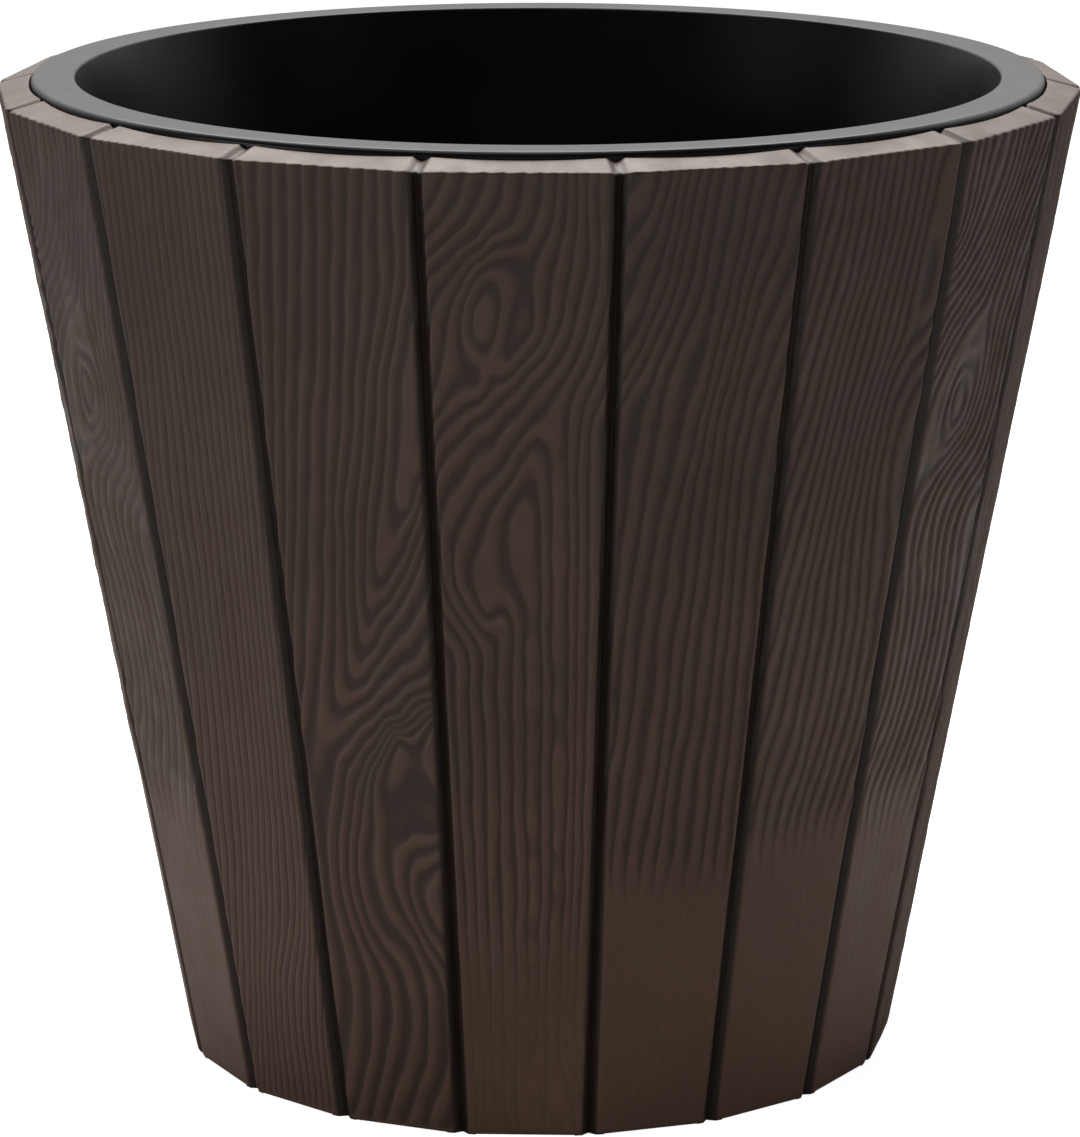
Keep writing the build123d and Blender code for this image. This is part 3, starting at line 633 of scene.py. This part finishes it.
def add_attribute(mesh, name, kind, field, values):
    """Values of the front's points, written to the mesh. The back's points keep 0."""
    whole = np.zeros((len(mesh.vertices), *values.shape[1:]), np.float32)
    whole[: len(values)] = values
    mesh.attributes.new(name, kind, "POINT").data.foreach_set(field, whole.ravel())


def add_bake_map(mesh, rows, columns, backs):
    """A flat map for baking: the front takes the left nine tenths and the back the strip beside it."""
    along = np.linspace(0.01, 0.99, rows)[:, None]
    front = 0.01 + 0.9 * np.linspace(0, 1, columns)[None, :]
    back = 0.99 - 0.06 * np.linspace(0, 1, backs)[None, :]
    u = np.concatenate([(part + 0 * along).ravel() for part in (front, back)])
    v = np.concatenate([(along + 0 * part).ravel() for part in (front, back)])
    loops = np.zeros(len(mesh.loops), np.int32)
    mesh.loops.foreach_get("vertex_index", loops)
    layer = mesh.uv_layers.new(name="OFBake")
    layer.data.foreach_set("uv", np.stack([u[loops], v[loops]], 1).astype(np.float32).ravel())


def skin_mesh(name, azimuth, face):
    """A closed thin shell: the plank's face in front and a coarse back inside the plank."""
    n, s, z, number, valley, over, joint_painted_shade = face
    rows, columns = n.shape
    edge = len(edge_columns())
    # The back keeps only a few of the front's columns
    picks = [0, 6, edge - 1, columns // 2, columns - edge, columns - 7, columns - 1]
    # The shell's thickness points out from the face, up from the rim and inwards from the bore
    tilt = np.radians(np.interp(over, [0, 1, 2, 2.3], [-10, 75, 180, 180]))[:, None]
    back_n = n[:, picks] - SKIN_DEPTH * np.cos(tilt)
    back_z = z[:, picks] - SKIN_DEPTH * np.sin(tilt) * (over[:, None] > 0)
    points = np.concatenate([placed(n, s, z, azimuth), placed(back_n, s[:, picks], back_z, azimuth)])
    made = mesh_from(name, points, shell_faces(rows, columns, len(picks)))
    lines = np.stack([number, z / 100, valley], -1).reshape(-1, 3)
    add_attribute(made.data, "grain", "FLOAT_VECTOR", "vector", lines)
    add_attribute(made.data, "joint_painted_shade", "FLOAT", "value", joint_painted_shade.ravel())
    add_bake_map(made.data, rows, columns, len(picks))
    return made


# Materials
class Nodes:
    """A node tree, built by short calls."""

    def __init__(self, owner):
        owner.use_nodes = True
        self.tree = owner.node_tree
        self.tree.nodes.clear()

    def add(self, kind, **settings):
        node = self.tree.nodes.new(kind)
        for key, value in settings.items():
            setattr(node, key, value)
        return node

    def link(self, a, b):
        self.tree.links.new(a, b)

    def put(self, socket, value):
        if hasattr(value, "is_output"):
            self.link(value, socket)
        else:
            socket.default_value = value

    def math(self, operation, *values):
        node = self.add("ShaderNodeMath", operation=operation)
        for socket, value in zip(node.inputs, values):
            self.put(socket, value)
        return node.outputs[0]

    def range(self, value, low, high, to_low=0.0, to_high=1.0):
        node = self.add("ShaderNodeMapRange", interpolation_type="SMOOTHSTEP")
        self.put(node.inputs["Value"], value)
        for key, x in (("From Min", low), ("From Max", high), ("To Min", to_low), ("To Max", to_high)):
            node.inputs[key].default_value = x
        return node.outputs["Result"]

    def noise(self, vector, scale, detail=2.0, rough=0.5):
        node = self.add("ShaderNodeTexNoise")
        self.put(node.inputs["Vector"], vector)
        node.inputs["Scale"].default_value = scale
        node.inputs["Detail"].default_value = detail
        node.inputs["Roughness"].default_value = rough
        return node.outputs["Fac"]

    def stretched(self, vector, scale):
        node = self.add("ShaderNodeMapping")
        self.put(node.inputs["Vector"], vector)
        node.inputs["Scale"].default_value = scale
        return node.outputs["Vector"]

    def ramp(self, value, stops):
        node = self.add("ShaderNodeValToRGB")
        self.put(node.inputs["Fac"], value)
        while len(node.color_ramp.elements) < len(stops):
            node.color_ramp.elements.new(0.5)
        for element, (place, color) in zip(node.color_ramp.elements, stops):
            element.position = place
            element.color = (*linear(color), 1)
        return node.outputs["Color"]

    def blend(self, kind, factor, a, b):
        node = self.add("ShaderNodeMix", data_type="RGBA", blend_type=kind)
        self.put(node.inputs["Factor"], factor)
        for socket, value in ((node.inputs[6], a), (node.inputs[7], b)):
            self.put(socket, value)
        return node.outputs[2]

    def bump(self, height, distance, strength):
        node = self.add("ShaderNodeBump")
        self.put(node.inputs["Height"], height)
        node.inputs["Distance"].default_value = distance
        node.inputs["Strength"].default_value = strength
        return node.outputs["Normal"]


def linear(color):
    """Linear values of a colour given as 0 to 255 in the usual display scale."""
    return [c / 255 / 12.92 if c <= 10.31 else ((c / 255 + 0.055) / 1.055) ** 2.4 for c in color]


class Surface(Nodes):
    """A material with one plain shader."""

    def __init__(self, name):
        self.material = bpy.data.materials.new(name)
        super().__init__(self.material)
        self.shader = self.add("ShaderNodeBsdfPrincipled")
        output = self.add("ShaderNodeOutputMaterial")
        self.link(self.shader.outputs["BSDF"], output.inputs["Surface"])


def shaded(m, color, shade, share):
    """The colour, multiplied by the shade where the share is 1."""
    return m.blend("MIX", share, color, m.blend("MULTIPLY", 1.0, color, (*shade, 1)))


def painted_tip_shade(m, place):
    """Where the joints' painted shade falls on the plain material: 1 on the outer surface at the bottom of
    the V-joints and 0 further in. The place is in metres.
    """
    apart = m.add("ShaderNodeSeparateXYZ")
    m.link(place, apart.inputs[0])
    x, y, z = (apart.outputs[axis] for axis in "XYZ")
    radius = m.math("SQRT", m.math("ADD", m.math("MULTIPLY", x, x), m.math("MULTIPLY", y, y)))
    foot_radius = m.math("SUBTRACT", radius, m.math("MULTIPLY", z, CORNER_FLARE))
    tip = (BASE_CORNER_RADIUS - JOINT_DEPTH) * MM
    return m.range(foot_radius, tip - 1.2 * MM, tip - 0.5 * MM)


def wood_plastic(name, has_grain):
    """Brown moulded plastic: slow colour drift, fine fibres and a soft sheen, with painted shade in the
    joints and towards the top, and grain valleys darkened partly by painted shade.
    """
    m = Surface(name)
    place = m.add("ShaderNodeTexCoord").outputs["Object"]
    color = m.ramp(m.noise(place, 14.0, 3.0), [(0.3, WOOD_DARK), (0.7, WOOD_LIGHT)])
    if has_grain:
        line = m.add("ShaderNodeAttribute", attribute_name="grain").outputs["Vector"]
        parts = m.add("ShaderNodeSeparateXYZ")
        m.link(line, parts.inputs[0])
        streak_at = m.stretched(line, (5.0, 9.0, 0.0))
        # Darker grain valleys, partly their tone and partly painted shade
        color = shaded(m, color, VALLEY_TONE_AND_SHADE, m.range(parts.outputs["Z"], 0.1, 0.95))
        # Painted shade in the joints
        joint_painted_shade = m.add("ShaderNodeAttribute", attribute_name="joint_painted_shade").outputs["Fac"]
        color = shaded(m, color, PAINTED_JOINT_SHADE, joint_painted_shade)
        # Painted shade, darker towards the top of the plank
        color = shaded(m, color, PAINTED_TOP_SHADE, m.range(parts.outputs["Y"], 0.0, 3.4))
    else:
        streak_at = m.stretched(place, (260.0, 260.0, 14.0))
        # Painted shade at the bottom of the V-joints
        color = shaded(m, color, PAINTED_JOINT_SHADE, painted_tip_shade(m, place))
    streak = m.noise(streak_at, 1.0, 4.0, 0.6)
    fibres = m.ramp(streak, [(0.3, (190, 188, 186)), (0.7, (255, 255, 255))])
    m.put(m.shader.inputs["Base Color"], m.blend("MULTIPLY", 0.5, color, fibres))
    m.put(m.shader.inputs["Roughness"], m.range(m.noise(place, 55.0, 3.0), 0.25, 0.75, 0.4, 0.52))
    fine = m.noise(place, 900.0, 3.0, 0.6)
    height = m.math("ADD", m.math("MULTIPLY", fine, 0.35), m.math("MULTIPLY", streak, 0.65))
    m.put(m.shader.inputs["Normal"], m.bump(height, 0.00025, 0.6))
    return m.material


def liner_plastic(name):
    """Black plastic with a satin surface, faint moulding swirls and a fine-grained roughness."""
    m = Surface(name)
    place = m.add("ShaderNodeTexCoord").outputs["Object"]
    swirl = m.noise(m.stretched(place, (9.0, 9.0, 22.0)), 1.0, 4.0, 0.55)
    m.put(m.shader.inputs["Base Color"], m.ramp(swirl, [(0.3, LINER_DARK), (0.7, LINER_LIGHT)]))
    m.put(m.shader.inputs["Roughness"], m.range(m.noise(place, 40.0, 3.0), 0.25, 0.75, 0.3, 0.38))
    m.put(m.shader.inputs["Specular IOR Level"], LINER_SHINE)
    m.put(m.shader.inputs["Normal"], m.bump(m.noise(place, 600.0, 3.0), 0.00004, 0.4))
    return m.material


def arc_corner(before, corner, after, radius, steps):
    """Points that round one corner of an outline."""
    corner = np.array(corner, float)
    a = np.array(before, float) - corner
    b = np.array(after, float) - corner
    a, b = a / np.linalg.norm(a), b / np.linalg.norm(b)
    half = math.acos(np.clip(a @ b, -1, 1)) / 2
    reach = radius / math.tan(half)
    middle = (a + b) / np.linalg.norm(a + b)
    centre = corner + middle * radius / math.sin(half)
    first, last = corner + a * reach - centre, corner + b * reach - centre
    turn = math.atan2(first[0] * last[1] - first[1] * last[0], first @ last)
    made = []
    for i in range(steps + 1):
        c, s = math.cos(turn * i / steps), math.sin(turn * i / steps)
        made.append(centre + np.array([c * first[0] - s * first[1], s * first[0] + c * first[1]]))
    return made


def liner_outline():
    """Closed outline of the liner in radius and height, its corners rounded as the moulding's are."""
    under = LINER_TOP - LINER_WALL
    body = MOUTH_RADIUS + LINER_WALL
    floor = body - (under - LINER_FLOOR_LIFT) * FLARE
    floor_top = LINER_FLOOR_LIFT + LINER_FLOOR_WALL
    inner_floor = MOUTH_RADIUS - (LINER_TOP - floor_top) * FLARE
    skirt = FLANGE_RADIUS - LINER_WALL
    foot = KICK_UP_RADIUS + KICK_UP_SLOPE_RUN
    corners = [
        ((KICK_UP_RADIUS, LINER_FLOOR_LIFT + KICK_UP_HEIGHT), 6.0),
        ((foot, LINER_FLOOR_LIFT), 6.0),
        ((floor, LINER_FLOOR_LIFT), HEEL + LINER_WALL),
        ((body, under), 1.0),
        ((skirt, under), 0.8),
        ((skirt, LEDGE_TOP), 0.5),
        ((FLANGE_RADIUS, LEDGE_TOP), 0.7),
        ((FLANGE_RADIUS, LINER_TOP), 1.9),
        ((MOUTH_RADIUS, LINER_TOP), 1.1),
        ((inner_floor, floor_top), HEEL),
        ((foot, floor_top), 6.0),
        ((KICK_UP_RADIUS, floor_top + KICK_UP_HEIGHT), 6.0),
    ]
    start = (0.0, LINER_FLOOR_LIFT + KICK_UP_HEIGHT)
    stop = (0.0, floor_top + KICK_UP_HEIGHT)
    path = [start] + [c for c, _ in corners] + [stop]
    made = [np.array(start)]
    for i, (corner, radius) in enumerate(corners):
        steps = 10 if radius > 4 else 7
        made += arc_corner(path[i], corner, path[i + 2], radius, steps)
    made.append(np.array(stop))
    return np.array(made)


def turned(name, outline, segments):
    """A solid turned about the axis from an outline that starts and ends on the axis."""
    ring = np.arange(segments) * 2 * math.pi / segments
    inner = outline[1:-1]
    points = [np.array([0, 0, outline[0, 1]]), np.array([0, 0, outline[-1, 1]])]
    for r, z in inner:
        points += list(np.stack([r * np.cos(ring), r * np.sin(ring), np.full(segments, z)], 1))
    points = np.array(points) * MM

    def at(i, j):
        return 2 + i * segments + j % segments

    faces = [(0, at(0, j + 1), at(0, j)) for j in range(segments)]
    last = len(inner) - 1
    faces += [(1, at(last, j), at(last, j + 1)) for j in range(segments)]
    for i in range(last):
        faces += [(at(i, j), at(i, j + 1), at(i + 1, j + 1), at(i + 1, j)) for j in range(segments)]
    return mesh_from(name, points, faces)


def cut_drains(body):
    """The liner's body with its drain holes."""
    under = LINER_TOP - LINER_WALL
    floor = MOUTH_RADIUS + LINER_WALL - (under - LINER_FLOOR_LIFT) * FLARE
    circle = (KICK_UP_RADIUS + KICK_UP_SLOPE_RUN + floor - HEEL) / 2
    sides = 40
    past = 4.0
    points, faces = [], []
    for i in range(DRAIN_COUNT):
        a = i * 2 * math.pi / DRAIN_COUNT
        centre = (circle * math.cos(a), circle * math.sin(a))
        base = len(points)
        for z in (LINER_FLOOR_LIFT - past, LINER_FLOOR_LIFT + LINER_FLOOR_WALL + past):
            for j in range(sides):
                b = j * 2 * math.pi / sides
                x = centre[0] + DRAIN_RADIUS * math.cos(b)
                y = centre[1] + DRAIN_RADIUS * math.sin(b)
                points.append((x, y, z))
        low = [base + j for j in range(sides)]
        high = [base + sides + j for j in range(sides)]
        faces.append(low[::-1])
        faces.append(high)
        faces += [(low[j], low[(j + 1) % sides], high[(j + 1) % sides], high[j]) for j in range(sides)]
    cutter = mesh_from("drain_cutter", np.array(points) * MM, faces, smooth_faces=False)
    cut = body.modifiers.new("drains", "BOOLEAN")
    cut.operation = "DIFFERENCE"
    cut.solver = "EXACT"
    cut.object = cutter
    bpy.context.view_layer.update()
    result = bpy.data.meshes.new_from_object(body.evaluated_get(bpy.context.evaluated_depsgraph_get()))
    body.modifiers.clear()
    old = body.data
    body.data = result
    bpy.data.meshes.remove(old)
    bpy.data.objects.remove(cutter)
    return body


# Pieces, each on its body
def add_planks(material):
    faces = [plank_face(pattern) for pattern in range(PATTERN_COUNT)]
    for k in range(PLANK_COUNT):
        made = skin_mesh(f"plank_face_{k + 1:02d}", -90 + 360 * k / PLANK_COUNT, faces[k % PATTERN_COUNT])
        made.data.materials.append(material)
        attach(made, "cover")


def add_liner(material):
    shell = cut_drains(turned("liner_shell", liner_outline(), LINER_SEGMENTS))
    shell.data.materials.clear()
    shell.data.materials.append(material)
    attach(shell, "liner")
    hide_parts("liner_pot")


def add_liner_gussets(material):
    """The thin plates under the flange, between the liner's wall and its skirt."""
    under = LINER_TOP - LINER_WALL
    low = LEDGE_TOP + LINER_WALL
    half = LINER_WALL / 2
    wall = MOUTH_RADIUS + half
    skirt = FLANGE_RADIUS - half
    root = wall - (under - low) * FLARE
    outline = [(root, low), (skirt, low), (skirt, under + half), (wall, under + half)]
    points, faces = [], []
    for k in range(PLANK_COUNT):
        a = HALF_ANGLE * (2 * k + 1)
        base = len(points)
        for side in (-half, half):
            for r, z in outline:
                x = r * math.cos(a) - side * math.sin(a)
                y = r * math.sin(a) + side * math.cos(a)
                points.append((x, y, z))
        faces += [[base + i for i in (0, 1, 2, 3)], [base + i for i in (7, 6, 5, 4)]]
        faces += [[base + i, base + i + 4, base + (i + 1) % 4 + 4, base + (i + 1) % 4] for i in range(4)]
    made = mesh_from("liner_gussets", np.array(points) * MM, faces, smooth_faces=False)
    made.data.materials.append(material)
    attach(made, "liner")


def add_floor():
    half = FLOOR_HALF
    corners = [(-half, -half, 0), (half, -half, 0), (half, half, 0), (-half, half, 0)]
    floor = mesh_from("floor", corners, [(0, 1, 2, 3)], smooth_faces=False)
    m = Surface("floor_white")
    m.put(m.shader.inputs["Base Color"], (FLOOR_SHADE, FLOOR_SHADE, FLOOR_SHADE, 1))
    m.put(m.shader.inputs["Roughness"], 0.9)
    m.put(m.shader.inputs["Specular IOR Level"], 0.0)
    m.put(m.shader.inputs["Emission Color"], (*WHITE, 1))
    seen = m.add("ShaderNodeLightPath").outputs["Is Camera Ray"]
    m.put(m.shader.inputs["Emission Strength"], m.math("MULTIPLY", seen, FLOOR_GLOW))
    floor.data.materials.append(m.material)


def add_world():
    """White to the camera, bright behind the pot and dim in front in reflections, a soft fill elsewhere."""
    world = bpy.data.worlds.new("studio")
    bpy.context.scene.world = world
    w = Nodes(world)
    sky = w.add("ShaderNodeBackground")
    w.link(sky.outputs[0], w.add("ShaderNodeOutputWorld").inputs["Surface"])
    parts = w.add("ShaderNodeSeparateXYZ")
    w.link(w.add("ShaderNodeTexCoord").outputs["Generated"], parts.inputs[0])
    height = parts.outputs["Z"]
    level = w.math("ADD", w.math("MULTIPLY", w.range(height, 0.2, 0.42), WORLD_GLOW), WORLD_BACK)
    behind = w.math("MULTIPLY", w.range(parts.outputs["Y"], -0.1, 0.5), w.range(height, 0.95, 0.6))
    mirrored = w.math("ADD", w.math("MULTIPLY", behind, level), WORLD_FRONT)
    path = w.add("ShaderNodeLightPath")
    glossy = path.outputs["Is Glossy Ray"]
    fill = w.math("MULTIPLY", w.math("SUBTRACT", 1.0, glossy), WORLD_FILL)
    strength = w.math("ADD", fill, w.math("MULTIPLY", glossy, mirrored))
    w.put(sky.inputs["Strength"], w.math("MAXIMUM", path.outputs["Is Camera Ray"], strength))


def add_softbox(name, place, aim, width, height, power, tint=WHITE):
    light = bpy.data.lights.new(name, "AREA")
    light.shape = "RECTANGLE"
    light.size = width
    light.size_y = height
    light.energy = power
    light.color = tint
    made = bpy.data.objects.new(name, light)
    made.location = place
    made.rotation_euler = (Vector(aim) - Vector(place)).to_track_quat("-Z", "Y").to_euler()
    bpy.context.scene.collection.objects.link(made)


def add_camera():
    turn = math.radians(CAMERA_TURN)
    place = Vector((CAMERA_BACK * math.sin(turn), -CAMERA_BACK * math.cos(turn), CAMERA_UP))
    data = bpy.data.cameras.new("camera")
    data.lens = CAMERA_LENS
    data.sensor_width = CAMERA_SENSOR
    data.shift_x = CAMERA_SHIFT
    camera = bpy.data.objects.new("camera", data)
    camera.location = place
    camera.rotation_euler = (Vector(CAMERA_AIM) - place).to_track_quat("-Z", "Y").to_euler()
    bpy.context.scene.collection.objects.link(camera)
    bpy.context.scene.camera = camera


wood = wood_plastic("wood_effect_plastic", True)
plain = wood_plastic("wood_effect_plastic_plain", False)
black = liner_plastic("liner_plastic")
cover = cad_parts["cover_pot"]
cover.data.materials.clear()
cover.data.materials.append(plain)
add_planks(wood)
add_liner(black)
add_liner_gussets(black)
add_floor()
add_world()
add_softbox("softbox_back", (-0.2, 1.15, 1.75), (0, 0, 0.36), 1.8, 0.8, BACK_POWER, WARM)
add_softbox("softbox_top", (-0.3, -0.2, 1.7), (0, 0, 0.2), 1.2, 1.2, TOP_POWER)
add_softbox("softbox_left", (-1.75, -0.95, 0.34), (0, 0, 0.2), 0.7, 0.6, LEFT_POWER)
add_softbox("softbox_front", (0, -1.3, 0.16), (0, 0, 0.1), 1.6, 0.3, FRONT_POWER)
add_softbox("softbox_right", (1.7, -1.0, 0.34), (0, 0, 0.2), 0.5, 0.6, RIGHT_POWER)
add_camera()
scene = bpy.context.scene
scene.view_settings.view_transform = "Standard"
